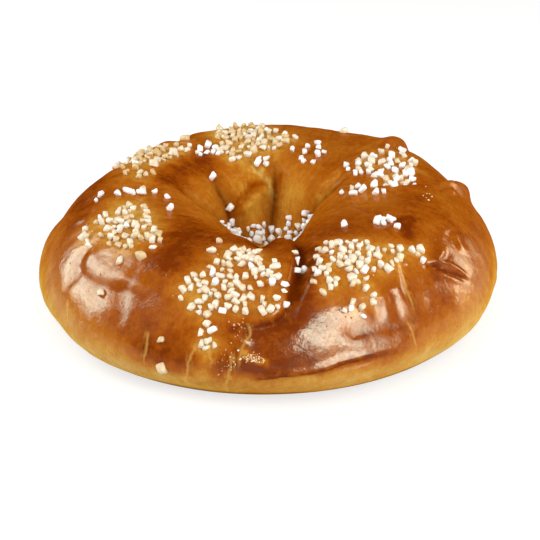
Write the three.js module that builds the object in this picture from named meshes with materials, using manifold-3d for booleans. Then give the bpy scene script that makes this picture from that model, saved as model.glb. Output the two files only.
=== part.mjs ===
// A brioche king cake: a ring of egg-washed dough whose hole has closed to a deep dimple in the oven,
// with soft folds that run into the dimple and pearl sugar baked on in clusters.
// Millimetres, +Z up, the front towards -Y. The origin is the middle of the flat underside.

import * as THREE from "three";
import { mergeVertices } from "three/addons/utils/BufferGeometryUtils.js";
import Module from "manifold-3d";

// Cross-section of the ring, from the dimple's floor out to the edge of the underside.
const FLOOR_HEIGHT = 29;
const FLOOR_PULL = 17;
const MOUTH_RADIUS = 31;
const MOUTH_HEIGHT = 59;
const MOUTH_PULL = new THREE.Vector2(8, 11);
const CROWN_RADIUS = 84;
const CROWN_HEIGHT = 75.5;
const CROWN_PULL_IN = 26;
const CROWN_PULL_OUT = 28;
const OUTER_RADIUS = 136;
const WIDEST_HEIGHT = 25;
const SHOULDER_PULL = 19;
const HEEL_PULL = 12;
const BASE_RADIUS = 113.5;
const BASE_PULL = 6;

// The dough is not quite round in plan, and has risen a little more on one side.
const PLAN_WAVES = [
  { lobes: 2, share: 0.008, turn: 0.3 },
  { lobes: 3, share: 0.005, turn: 6.0 },
  { lobes: 5, share: 0.004, turn: 4.0 },
];
const RISE_SHARE = 0.1;
const RISE_AZIMUTH = 64;

// Slow swelling of the crust: three crossed waves, faded out towards the tray.
const SWELL_HEIGHT = 1.1;
const SWELL_LENGTH = 19;
const RELIEF_FADE_HEIGHT = 14;

// Folds of the dough. A course is a list of [azimuth in degrees, reach], where reach runs along the crust
// from 0 at the dimple's floor to 1 at the edge of the underside. Lap lifts the fold's left bank,
// seen along its course, and sinks the right one. A fold with a negative depth stands up as a ridge.
const FOLDS = [
  {
    name: "front crease", depth: 7.5, width: 6, lap: -1.5,
    course: [[298, 0.08], [288, 0.35], [285, 0.431], [280, 0.55], [276.5, 0.626], [274, 0.681], [269, 0.706]],
  },
  {
    name: "front crease end", depth: 3.4, width: 5, lap: -2,
    course: [[284, 0.46], [280, 0.55], [276.5, 0.626], [274, 0.681], [271, 0.699], [266, 0.708], [261, 0.71]],
  },
  {
    name: "front notch", depth: 5.5, width: 8, lap: 0,
    course: [[262, 0.1], [265, 0.22], [266, 0.3], [267, 0.36], [268, 0.4], [268.5, 0.45]],
  },
  {
    name: "back crease", depth: 6, width: 6, lap: 0.8,
    course: [[84, 0.04], [83, 0.1], [82, 0.15], [81.5, 0.19], [82, 0.225], [83.5, 0.27], [86, 0.32]],
  },
  {
    name: "right back crease", depth: 6, width: 6, lap: -1,
    course: [[24, 0.06], [22.5, 0.125], [20, 0.165], [17.5, 0.205], [15.5, 0.236], [16, 0.272], [18, 0.34]],
  },
  {
    name: "left lip crease", depth: 6, width: 5.5, lap: 2,
    course: [[146, 0.1], [152, 0.148], [163, 0.184], [170, 0.232], [169, 0.275], [165, 0.312], [159, 0.38]],
  },
  {
    name: "left outer crease", depth: 1.6, width: 5.5, lap: 0.8,
    course: [[171, 0.36], [176, 0.44], [183, 0.56], [178, 0.66]],
  },
  {
    name: "left wall crease", depth: 4.5, width: 5, lap: -0.6,
    course: [[131, 0.07], [135, 0.141], [137, 0.18], [138.5, 0.212], [139, 0.246], [136, 0.284], [131, 0.33]],
  },
  {
    name: "right ledge", depth: 1.4, width: 5.5, lap: -2.2,
    course: [[4, 0.28], [359, 0.36], [359, 0.46], [2, 0.53], [355, 0.58], [348, 0.64]],
  },
  {
    name: "right flap", depth: -4, width: 5.5, lap: -2,
    course: [[4, 0.56], [10, 0.61], [15, 0.66], [17, 0.7], [16, 0.76]],
  },
  {
    name: "back right peak", depth: -4, width: 5, lap: 1.5,
    course: [[34, 0.5], [38, 0.55], [40, 0.6], [43, 0.67]],
  },
  {
    name: "right long crease", depth: 1.4, width: 5, lap: 0.6,
    course: [[332, 0.46], [327, 0.5], [323, 0.56], [320, 0.62]],
  },
  {
    name: "right tuck", depth: 2.2, width: 5, lap: 0.6,
    course: [[318, 0.635], [322, 0.655], [325, 0.682], [328, 0.71], [331.5, 0.738]],
  },
  {
    name: "front shelf", depth: 1.2, width: 5, lap: -1.2,
    course: [[288.5, 0.775], [290, 0.762], [295, 0.757], [302, 0.763], [311, 0.753], [320, 0.74]],
  },
  {
    name: "left back hollow", depth: 3.2, width: 13, lap: 0,
    course: [[176, 0.75], [168, 0.72], [160, 0.67], [152, 0.63], [146, 0.6]],
  },
  {
    name: "far back tuck", depth: 2.4, width: 6, lap: 1,
    course: [[128, 0.5], [122, 0.62], [118, 0.74]],
  },
  {
    name: "far back shelf", depth: 2, width: 6, lap: 1.2,
    course: [[52, 0.77], [70, 0.755], [90, 0.765], [106, 0.75]],
  },
];
const COURSE_STEPS = 24;
const START_EASE = 0.1;
const END_EASE = 0.4;

// Clusters of pearl sugar: where their middle lies on the crust, how far they spread around the ring
// and along the crust, and how many grains they hold. A stray is one grain, at an azimuth and a reach.
const CLUSTERS = [
  { name: "front", azimuth: 261, reach: 0.57, around: 24, along: 27, grains: 86 },
  { name: "right front", azimuth: 298, reach: 0.55, around: 27, along: 18, grains: 62 },
  { name: "left", azimuth: 208.5, reach: 0.512, around: 27, along: 20.5, grains: 62 },
  { name: "back left", azimuth: 148, reach: 0.485, around: 27, along: 18, grains: 50 },
  { name: "back", azimuth: 99, reach: 0.41, around: 25, along: 22, grains: 70 },
  { name: "back right", azimuth: 18, reach: 0.435, around: 22, along: 22, grains: 50 },
  { name: "left upper", azimuth: 180, reach: 0.465, around: 5, along: 22, grains: 11 },
  { name: "back white", azimuth: 123.5, reach: 0.386, around: 6, along: 6, grains: 8 },
  { name: "back low", azimuth: 94, reach: 0.286, around: 6, along: 3, grains: 4 },
  { name: "back strays", azimuth: 62, reach: 0.33, around: 16, along: 12, grains: 10 },
  { name: "right inner", azimuth: 352, reach: 0.36, around: 6, along: 16, grains: 9 },
  { name: "dimple left", azimuth: 150, reach: 0.128, around: 7, along: 7, grains: 11 },
  { name: "dimple", azimuth: 97, reach: 0.092, around: 21, along: 6, grains: 26 },
  { name: "dimple floor", azimuth: 220, reach: 0.05, around: 9, along: 8, grains: 9 },
  { name: "dimple right", azimuth: 28, reach: 0.135, around: 9, along: 9, grains: 13 },
  { name: "right", azimuth: 324, reach: 0.48, around: 7, along: 8, grains: 6 },
  { name: "right edge", azimuth: 319.5, reach: 0.596, around: 3, along: 7, grains: 4 },
  { name: "right front low", azimuth: 295, reach: 0.675, around: 10, along: 9, grains: 8 },
  { name: "front low", azimuth: 255.5, reach: 0.735, around: 6, along: 7, grains: 7 },
  { name: "crease side", azimuth: 272, reach: 0.555, around: 3, along: 9, grains: 5 },
  { name: "crease", azimuth: 281, reach: 0.5, around: 3, along: 9, grains: 4 },
];
const STRAYS = [
  [195, 0.355], [137, 0.29], [135, 0.185], [223, 0.694], [245, 0.763], [246, 0.84], [314, 0.376],
  [249, 0.468], [248, 0.41], [222, 0.595], [228, 0.562], [125, 0.494], [285, 0.629], [58, 0.51], [275, 0.65],
];
const CLUSTER_CROWDING = 0.62;
const EDGE_WOBBLE = 0.25;
const EDGE_LOBES = 3;
const MOST_TRIES = 900;
const DRAWS_PER_TRY = 8;

// A grain is a blocky chip. The solid holds the largest grains of each cluster.
const GRAIN_LARGE = 5;
const GRAIN_SMALL = 3;
const GRAIN_SHAPE = new THREE.Vector3(1, 0.8, 0.7);
const GRAIN_SPACING = 0.8;
const GRAIN_STANDS = 0.2;
const SOLID_SHARE = 0.25;

// Facets of the crust
const COLUMNS = 104;
const ROWS = 27;
const MERGE_DISTANCE = 1e-3;

const CRUST_FINISH = { color: 0x9d4e12, roughness: 0.28, metalness: 0 };

const clamp01 = (value) => Math.min(1, Math.max(0, value));
const smooth = (from, to, value) => THREE.MathUtils.smoothstep(value, from, to);
const radians = THREE.MathUtils.degToRad;

// A repeatable number from 0 to 1 for a seed.
const draw = (seed) => {
  const spread = Math.sin(seed * 12.9898) * 43758.5453;
  return spread - Math.floor(spread);
};

// The crust's section: x is the radius and y the height.
function crustSection() {
  const section = new THREE.Path();
  section.moveTo(0, FLOOR_HEIGHT);
  section.bezierCurveTo(
    FLOOR_PULL, FLOOR_HEIGHT,
    MOUTH_RADIUS - MOUTH_PULL.x, MOUTH_HEIGHT - MOUTH_PULL.y,
    MOUTH_RADIUS, MOUTH_HEIGHT,
  );
  section.bezierCurveTo(
    MOUTH_RADIUS + MOUTH_PULL.x, MOUTH_HEIGHT + MOUTH_PULL.y,
    CROWN_RADIUS - CROWN_PULL_IN, CROWN_HEIGHT,
    CROWN_RADIUS, CROWN_HEIGHT,
  );
  section.bezierCurveTo(
    CROWN_RADIUS + CROWN_PULL_OUT, CROWN_HEIGHT,
    OUTER_RADIUS, WIDEST_HEIGHT + SHOULDER_PULL,
    OUTER_RADIUS, WIDEST_HEIGHT,
  );
  section.bezierCurveTo(
    OUTER_RADIUS, WIDEST_HEIGHT - HEEL_PULL,
    BASE_RADIUS + BASE_PULL, 0,
    BASE_RADIUS, 0,
  );
  return section;
}

const SECTION = crustSection();

// Share of the round radius that the dough takes at an azimuth.
function planScale(azimuth, radius) {
  const weight = (radius / OUTER_RADIUS) ** 2;
  const wave = ({ lobes, share, turn }) => share * Math.cos(lobes * azimuth + turn);
  return 1 + weight * PLAN_WAVES.reduce((sum, plan) => sum + wave(plan), 0);
}

// The crust before any relief: a point and its outward normal at an azimuth in radians and a reach.
function bareCrust(azimuth, reach) {
  const { x: radius, y: height } = SECTION.getPoint(clamp01(reach));
  const along = SECTION.getTangent(clamp01(reach));
  const outwards = new THREE.Vector3(Math.cos(azimuth), Math.sin(azimuth), 0);
  const point = outwards.clone().multiplyScalar(radius * planScale(azimuth, radius));
  const rise = RISE_SHARE * clamp01(radius / MOUTH_RADIUS) * Math.cos(azimuth - radians(RISE_AZIMUTH));
  point.z = height * (1 + rise);
  const normal = outwards.multiplyScalar(radius > 0 ? -along.y : 0);
  normal.z = radius > 0 ? along.x : 1;
  return { point, normal: normal.normalize() };
}

// A fold's course as points on the bare crust, each with its direction, and its depth eased at both ends.
function foldCourse({ course, ...fold }) {
  const corners = course.map(([degrees, reach]) => bareCrust(radians(degrees), reach).point);
  const curve = new THREE.CatmullRomCurve3(corners);
  const stations = Array.from({ length: COURSE_STEPS + 1 }, (_, step) => {
    const share = step / COURSE_STEPS;
    return {
      point: curve.getPoint(share),
      direction: curve.getTangent(share),
      strength: smooth(0, START_EASE, share) * (1 - smooth(1 - END_EASE, 1, share)),
    };
  });
  return { ...fold, stations };
}

const FOLD_COURSES = FOLDS.map(foldCourse);

// How far one fold moves the crust along its normal.
function foldRelief({ stations, depth, width, lap }, point, normal) {
  const nearest = stations.reduce((best, station) =>
    station.point.distanceToSquared(point) < best.point.distanceToSquared(point) ? station : best);
  const offset = point.clone().sub(nearest.point);
  const leftwards = normal.clone().cross(nearest.direction);
  const across = Math.sign(offset.dot(leftwards)) * (offset.length() / width);
  const groove = -depth * Math.exp(-across * across);
  const step = lap * across * Math.exp((1 - across * across) / 2);
  return nearest.strength * (groove + step);
}

// Slow waves of the crust, in three directions.
function swell({ x, y, z }) {
  const wave = (a, b) => Math.sin(a / SWELL_LENGTH + b);
  const square = wave(x, 0.4) * wave(y, 1.1);
  const slanted = wave(0.6 * x - y, z / 30) * wave(x + 0.5 * y, 2.3);
  return SWELL_HEIGHT * (square + 0.7 * slanted);
}

// The finished crust at an azimuth in radians and a reach.
function crustAt(azimuth, reach) {
  const { point, normal } = bareCrust(azimuth, reach);
  const folds = FOLD_COURSES.reduce((sum, fold) => sum + foldRelief(fold, point, normal), 0);
  const relief = smooth(0, RELIEF_FADE_HEIGHT, point.z) * (folds + swell(point));
  return { point: point.addScaledVector(normal, relief), normal };
}

// A closed mesh as a solid, with its shared vertices merged and the flat triangles at the poles left out.
function solidFrom(wasm, geometry) {
  const bare = geometry.index ? geometry.toNonIndexed() : geometry.clone();
  bare.deleteAttribute("normal");
  bare.deleteAttribute("uv");
  const merged = mergeVertices(bare, MERGE_DISTANCE);
  const corners = merged.index.array;
  const kept = [];
  for (let first = 0; first < corners.length; first += 3) {
    const [a, b, c] = corners.subarray(first, first + 3);
    if (a !== b && b !== c && c !== a) kept.push(a, b, c);
  }
  return new wasm.Manifold(new wasm.Mesh({
    numProp: 3,
    vertProperties: merged.getAttribute("position").array,
    triVerts: Uint32Array.from(kept),
  }));
}

// The dough: the section turned about the axis, then every vertex moved to the finished crust.
function doughGeometry() {
  const section = Array.from({ length: ROWS + 1 }, (_, row) => SECTION.getPoint(row / ROWS));
  section.push(new THREE.Vector2(0, 0));
  const dough = new THREE.LatheGeometry(section.reverse(), COLUMNS).rotateX(Math.PI / 2);
  const position = dough.getAttribute("position");
  const uv = dough.getAttribute("uv");
  const lastRow = section.length - 1;
  for (let vertex = 0; vertex < position.count; vertex++) {
    const row = Math.round(uv.getY(vertex) * lastRow);
    if (row === 0) continue;
    const azimuth = 2 * Math.PI * (Math.round(uv.getX(vertex) * COLUMNS) % COLUMNS) / COLUMNS;
    const { point } = crustAt(azimuth, 1 - (row - 1) / ROWS);
    position.setXYZ(vertex, point.x, point.y, point.z);
  }
  return dough;
}

// Places of a cluster's grains, the largest first and each clear of those before it.
function grainPlaces(cluster, clusterIndex) {
  const middle = bareCrust(radians(cluster.azimuth), cluster.reach).point;
  const ringRadius = Math.hypot(middle.x, middle.y);
  const places = [];
  for (let attempt = 0; places.length < cluster.grains && attempt < MOST_TRIES; attempt++) {
    const seed = DRAWS_PER_TRY * (MOST_TRIES * clusterIndex + attempt);
    const turn = 2 * Math.PI * draw(seed);
    const edge = 1 + EDGE_WOBBLE * Math.sin(EDGE_LOBES * turn + clusterIndex);
    const out = edge * draw(seed + 1) ** CLUSTER_CROWDING;
    const azimuth = radians(cluster.azimuth) + (cluster.around * out * Math.cos(turn)) / ringRadius;
    const reach = Math.abs(cluster.reach + (cluster.along * out * Math.sin(turn)) / SECTION.getLength());
    const size = THREE.MathUtils.lerp(GRAIN_LARGE, GRAIN_SMALL, places.length / cluster.grains);
    const { point } = bareCrust(azimuth, reach);
    const isClear = (place) => place.point.distanceTo(point) > GRAIN_SPACING * (place.size + size) / 2;
    if (places.every(isClear)) places.push({ azimuth, reach, point, size, seed });
  }
  return places;
}

// One grain of pearl sugar, half sunk in the crust.
function grainGeometry({ azimuth, reach, size, seed }) {
  const { point, normal } = crustAt(azimuth, reach);
  const tumble = new THREE.Euler(...[2, 3, 4].map((step) => 2 * Math.PI * draw(seed + step)));
  const shape = GRAIN_SHAPE.clone().multiplyScalar(size);
  return new THREE.BoxGeometry(shape.x, shape.y, shape.z)
    .applyMatrix4(new THREE.Matrix4().makeRotationFromEuler(tumble))
    .translate(...point.addScaledVector(normal, GRAIN_STANDS * size).toArray());
}

// Dough and sugar as one body. A pocket sealed between grains is filled, and a loose grain is dropped.
function fusedCake(wasm) {
  const strays = STRAYS.map(([azimuth, reach]) => ({ azimuth, reach, around: 0, along: 0, grains: 1 }));
  const grains = [...CLUSTERS, ...strays].flatMap((cluster, index) =>
    grainPlaces(cluster, index).slice(0, Math.ceil(SOLID_SHARE * cluster.grains)));
  const fused = grains.reduce(
    (cake, grain) => cake.add(solidFrom(wasm, grainGeometry(grain))),
    solidFrom(wasm, doughGeometry()),
  );
  return fused.decompose().reduce((largest, piece) => (piece.volume() > largest.volume() ? piece : largest));
}

// A solid back as a geometry for drawing.
function geometryFrom(solid) {
  const { vertProperties, triVerts } = solid.getMesh();
  const geometry = new THREE.BufferGeometry();
  geometry.setAttribute("position", new THREE.BufferAttribute(vertProperties, 3));
  geometry.setIndex(new THREE.BufferAttribute(triVerts, 1));
  geometry.computeVertexNormals();
  return geometry;
}

const wasm = await Module();
wasm.setup();

const brioche = new THREE.Mesh(geometryFrom(fusedCake(wasm)), new THREE.MeshStandardMaterial(CRUST_FINISH));
brioche.name = "brioche";

const kingCake = new THREE.Group();
kingCake.add(brioche);

export default kingCake;
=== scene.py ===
"""Looks of a brioche king cake: an egg-washed ring of dough with a closed-up hole and pearl sugar on top.

Sizes in the classes are in millimetres and angles in degrees, unless a name says otherwise. The front faces
-Y. A place on the crust is an azimuth and a reach, which runs along the section from 0 at the dimple's floor
to 1 at the edge of the underside.
"""

import logging
import math
from dataclasses import dataclass
from enum import Enum

import bmesh
import bpy
import numpy as np
from mathutils import Euler, Matrix, Vector, kdtree, noise


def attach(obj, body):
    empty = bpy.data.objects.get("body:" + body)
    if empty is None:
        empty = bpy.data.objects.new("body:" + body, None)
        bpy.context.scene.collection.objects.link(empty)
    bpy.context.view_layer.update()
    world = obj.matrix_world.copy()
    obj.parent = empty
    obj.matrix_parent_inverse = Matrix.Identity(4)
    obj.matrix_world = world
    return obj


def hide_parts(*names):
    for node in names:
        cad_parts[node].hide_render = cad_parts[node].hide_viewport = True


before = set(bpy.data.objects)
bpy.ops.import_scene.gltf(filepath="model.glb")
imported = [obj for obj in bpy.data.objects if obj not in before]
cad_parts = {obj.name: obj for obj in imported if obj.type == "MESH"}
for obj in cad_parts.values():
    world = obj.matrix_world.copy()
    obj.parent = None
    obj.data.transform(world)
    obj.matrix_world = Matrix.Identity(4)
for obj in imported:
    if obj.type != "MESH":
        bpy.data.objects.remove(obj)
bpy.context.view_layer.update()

MM = 0.001
CAKE_NODE = "brioche"
CAKE_BODY = "root"

LOG = logging.getLogger("king_cake")

Colour = tuple[float, float, float]
Span = tuple[float, float]
Course = tuple[Span, ...]
Socket = bpy.types.NodeSocket
Inputs = dict[str | int, object]


def linear(red: int, green: int, blue: int) -> Colour:
    """Turns an 8-bit display colour into linear light."""
    shares = (channel / 255 for channel in (red, green, blue))
    return tuple(s / 12.92 if s <= 0.04045 else ((s + 0.055) / 1.055) ** 2.4 for s in shares)


def smooth(low: float, high: float, value: np.ndarray) -> np.ndarray:
    """Eases from 0 at low to 1 at high."""
    share = np.clip((value - low) / (high - low), 0, 1)
    return share * share * (3 - 2 * share)


def draw(seed: float) -> float:
    """Gives a repeatable number from 0 to 1 for a seed."""
    spread = math.sin(seed * 12.9898) * 43758.5453
    return spread - math.floor(spread)


def unevenness(points: np.ndarray, length: float, octaves: int = 2) -> np.ndarray:
    """Gives smooth noise of about -1 to 1 at points.

    Args:
        points: Places, one row each.
        length: Distance over which the noise changes.
        octaves: Number of noises, each half as large as the last.

    Returns:
        One value for each point.
    """
    return np.array([noise.fractal(Vector(place), 1.0, 2.0, octaves) for place in points / length])


def object_from(bm: bmesh.types.BMesh, name: str) -> bpy.types.Object:
    """Makes a smooth-shaded object of a bmesh, and frees the bmesh.

    Args:
        bm: The mesh.
        name: Name of the piece.

    Returns:
        The object, at the origin.
    """
    mesh = bpy.data.meshes.new(name)
    bm.to_mesh(mesh)
    bm.free()
    mesh.shade_smooth()
    piece = bpy.data.objects.new(name, mesh)
    bpy.context.scene.collection.objects.link(piece)
    return piece


def enlist(piece: bpy.types.Object) -> None:
    """Lets a piece ride on the cake's body and stand for the cake's solid.

    Args:
        piece: The finished piece.
    """
    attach(piece, CAKE_BODY)
    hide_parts(CAKE_NODE)
    LOG.info("%s: %d faces", piece.name, len(piece.data.polygons))


@dataclass(frozen=True)
class RingSection:
    """Cross-section of the ring, four curves from the dimple's floor out to the edge of the underside."""

    floor_height: float = 29
    floor_pull: float = 17
    mouth_radius: float = 31
    mouth_height: float = 59
    mouth_pull: Span = (8, 11)
    crown_radius: float = 84
    crown_height: float = 75.5
    crown_pull_in: float = 26
    crown_pull_out: float = 28
    outer_radius: float = 136
    widest_height: float = 25
    shoulder_pull: float = 19
    heel_pull: float = 12
    base_radius: float = 113.5
    base_pull: float = 6
    curve_steps: int = 200

    def curves(self) -> list[tuple[np.ndarray, ...]]:
        """Lists the four curves.

        Returns:
            For each curve its start, the pulls on both ends, and its end, as radius and height.
        """
        out, up, pull = np.array((1.0, 0)), np.array((0, 1.0)), np.array(self.mouth_pull)
        floor = self.floor_height * up
        mouth = np.array((self.mouth_radius, self.mouth_height))
        crown = np.array((self.crown_radius, self.crown_height))
        widest = np.array((self.outer_radius, self.widest_height))
        base = self.base_radius * out
        return [
            (floor, floor + self.floor_pull * out, mouth - pull, mouth),
            (mouth, mouth + pull, crown - self.crown_pull_in * out, crown),
            (crown, crown + self.crown_pull_out * out, widest + self.shoulder_pull * up, widest),
            (widest, widest - self.heel_pull * up, base + self.base_pull * out, base),
        ]

    def line(self) -> np.ndarray:
        """Follows the curves.

        Returns:
            Close points, one row each of radius and height.
        """
        t = np.linspace(0, 1, self.curve_steps + 1)[:, None]
        weights = ((1 - t) ** 3, 3 * (1 - t) ** 2 * t, 3 * (1 - t) * t**2, t**3)
        lines = [sum(w * corner for w, corner in zip(weights, curve)) for curve in self.curves()]
        return np.vstack([lines[0], *(line[1:] for line in lines[1:])])


@dataclass(frozen=True)
class PlanWave:
    """One wave of the plan's outline, with its turn in radians."""

    lobes: int
    share: float
    turn: float


@dataclass(frozen=True)
class Fold:
    """A fold of the dough along a course of places.

    The lap lifts the left bank, seen along the course, and sinks the right one. A negative depth is a ridge.
    The cleft is the share of the depth that is a narrow slit.
    """

    name: str
    depth: float
    width: float
    lap: float
    course: Course
    cleft: float = 0.35


@dataclass(frozen=True)
class Streak:
    """A lighter or darker stroke along a course of places; most are tone of the crust, some are painted shade
    by creases and folds, and one a painted highlight.
    """

    shade: float
    width: float
    course: Course


FOLDS = (
    Fold("front crease", 7.5, 5.5, -1.5,
         ((298, 0.08), (288, 0.35), (285, 0.431), (280, 0.55), (276.5, 0.626), (274, 0.681), (269, 0.706)),
         0.5),
    Fold("front crease end", 3.4, 3.4, -2,
         ((284, 0.46), (280, 0.55), (276.5, 0.626), (274, 0.681), (271, 0.699), (266, 0.708), (261, 0.71)),
         0.6),
    Fold("front notch", 5.5, 7, 0,
         ((262, 0.1), (265, 0.22), (266, 0.3), (267, 0.36), (268, 0.4), (268.5, 0.45))),
    Fold("back crease", 6, 6, 0.8,
         ((84, 0.04), (83, 0.1), (82, 0.15), (81.5, 0.19), (82, 0.225), (83.5, 0.27), (86, 0.32)), 0.3),
    Fold("right back crease", 6, 6, -1,
         ((24, 0.06), (22.5, 0.125), (20, 0.165), (17.5, 0.205), (15.5, 0.236), (16, 0.272), (18, 0.34))),
    Fold("left lip crease", 6, 5.5, 2,
         ((146, 0.1), (152, 0.148), (163, 0.184), (170, 0.232), (169, 0.275), (165, 0.312), (159, 0.38)),
         0.4),
    Fold("left outer crease", 1.6, 5, 0.8, ((171, 0.36), (176, 0.44), (183, 0.56), (178, 0.66))),
    Fold("left wall crease", 4.5, 5, -0.6,
         ((131, 0.07), (135, 0.141), (137, 0.18), (138.5, 0.212), (139, 0.246), (136, 0.284), (131, 0.33)),
         0.25),
    Fold("right ledge", 1.4, 5, -2.2,
         ((4, 0.28), (359, 0.36), (359, 0.46), (2, 0.53), (355, 0.58), (348, 0.64))),
    Fold("right flap", -4, 4.5, -2, ((4, 0.56), (10, 0.61), (15, 0.66), (17, 0.7), (16, 0.76)), 0),
    Fold("back right peak", -4, 5, 1.5, ((34, 0.5), (38, 0.55), (40, 0.6), (43, 0.67)), 0),
    Fold("right long crease", 1.4, 4, 0.6, ((332, 0.46), (327, 0.5), (323, 0.56), (320, 0.62)), 0.5),
    Fold("right tuck", 1.9, 1.9, 0.5,
         ((318, 0.635), (322, 0.655), (325, 0.682), (328, 0.71), (331.5, 0.738)), 0.6),
    Fold("front shelf", 0.9, 5, -0.6,
         ((288.5, 0.775), (290, 0.762), (295, 0.757), (302, 0.763), (311, 0.753), (320, 0.74)), 0.15),
    Fold("left back hollow", 3.2, 13, 0,
         ((176, 0.75), (168, 0.72), (160, 0.67), (152, 0.63), (146, 0.6)), 0),
    Fold("far back tuck", 2.4, 6, 1, ((128, 0.5), (122, 0.62), (118, 0.74))),
    Fold("far back shelf", 2, 6, 1.2, ((52, 0.77), (70, 0.755), (90, 0.765), (106, 0.75))),
)

WRINKLES = (
    Fold("petal edge", 0.9, 2.6, 2,
         ((86, 0.21), (90.5, 0.206), (101.5, 0.2), (113, 0.182), (124.5, 0.169), (128.5, 0.149), (127, 0.12)),
         0.2),
    Fold("back side crease", 1.6, 3, 0.6, ((103, 0.31), (99, 0.264), (91, 0.226), (84, 0.19)), 0.5),
    Fold("left lip wrinkle", 1.2, 2.5, 0.4, ((178, 0.33), (178, 0.29), (177, 0.25), (172, 0.21))),
    Fold("tuck upper lip", -0.8, 1.5, 0.3, ((322, 0.645), (326, 0.668), (330.5, 0.728), (333, 0.75)), 0),
    Fold("tuck lower lip", -0.6, 1.5, -0.3, ((320, 0.655), (323, 0.684), (326.5, 0.716), (330, 0.745)), 0),
    Fold("tuck fin", -1.4, 2.2, 0.6, ((320.5, 0.648), (323.5, 0.645), (327.5, 0.638), (331, 0.625)), 0),
    Fold("right swirl", 0.9, 4, -0.6, ((341, 0.31), (334, 0.36), (329, 0.4), (326, 0.44))),
    Fold("right front pleat", 0.9, 3.2, -0.7, ((312, 0.6), (309.5, 0.652), (308.5, 0.685), (308, 0.71)), 0.1),
    Fold("second pleat", 0.5, 3.2, -0.5, ((304, 0.66), (303.5, 0.7), (303, 0.76)), 0),
    Fold("third pleat", 0.4, 3.2, 0.4, ((299, 0.66), (299, 0.7), (298, 0.74)), 0),
    Fold("fourth pleat", 0.4, 3.2, 0.4, ((316, 0.67), (313.5, 0.71), (312, 0.74)), 0),
    Fold("front seam", 1.3, 2.2, 1.2,
         ((266, 0.868), (271, 0.855), (283, 0.84), (287, 0.829), (293, 0.824), (302, 0.828), (309, 0.845)),
         0.6),
    Fold("left ledge", 0.8, 5, 1,
         ((206, 0.61), (210, 0.662), (216, 0.678), (223, 0.67), (230, 0.656), (236.5, 0.66), (243, 0.655)),
         0),
    Fold("left wedge", 0.7, 5.5, 0.4, ((211, 0.665), (211, 0.7), (210, 0.735), (208, 0.77)), 0),
    Fold("left drop", 0.7, 4, 0.4, ((228.5, 0.65), (231, 0.696), (233, 0.736), (235, 0.78)), 0),
    Fold("glaze lump", -0.9, 3.2, 0, ((260.5, 0.715), (263, 0.73), (264.5, 0.743), (267, 0.76)), 0),
    Fold("left outer pleat", 0.9, 3.5, 0.6, ((190, 0.57), (186, 0.62), (183, 0.69))),
    Fold("flap wrinkle", 1.6, 2.4, -0.6, ((2, 0.55), (5, 0.6), (6, 0.66), (4, 0.72)), 0.5),
    Fold("glint dent", -0.9, 3.5, 0.5, ((338, 0.62), (336, 0.65), (334, 0.68))),
    Fold("back left wrinkle", 1.2, 3.5, 0.6, ((160, 0.37), (158, 0.43), (162, 0.5), (166, 0.56))),
    Fold("far right pleat", 1.4, 4, 0.8, ((62, 0.56), (66, 0.64), (67, 0.72))),
    Fold("far left pleat", 1.4, 4, -0.8, ((142, 0.66), (148, 0.71), (150, 0.79))),
)

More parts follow.
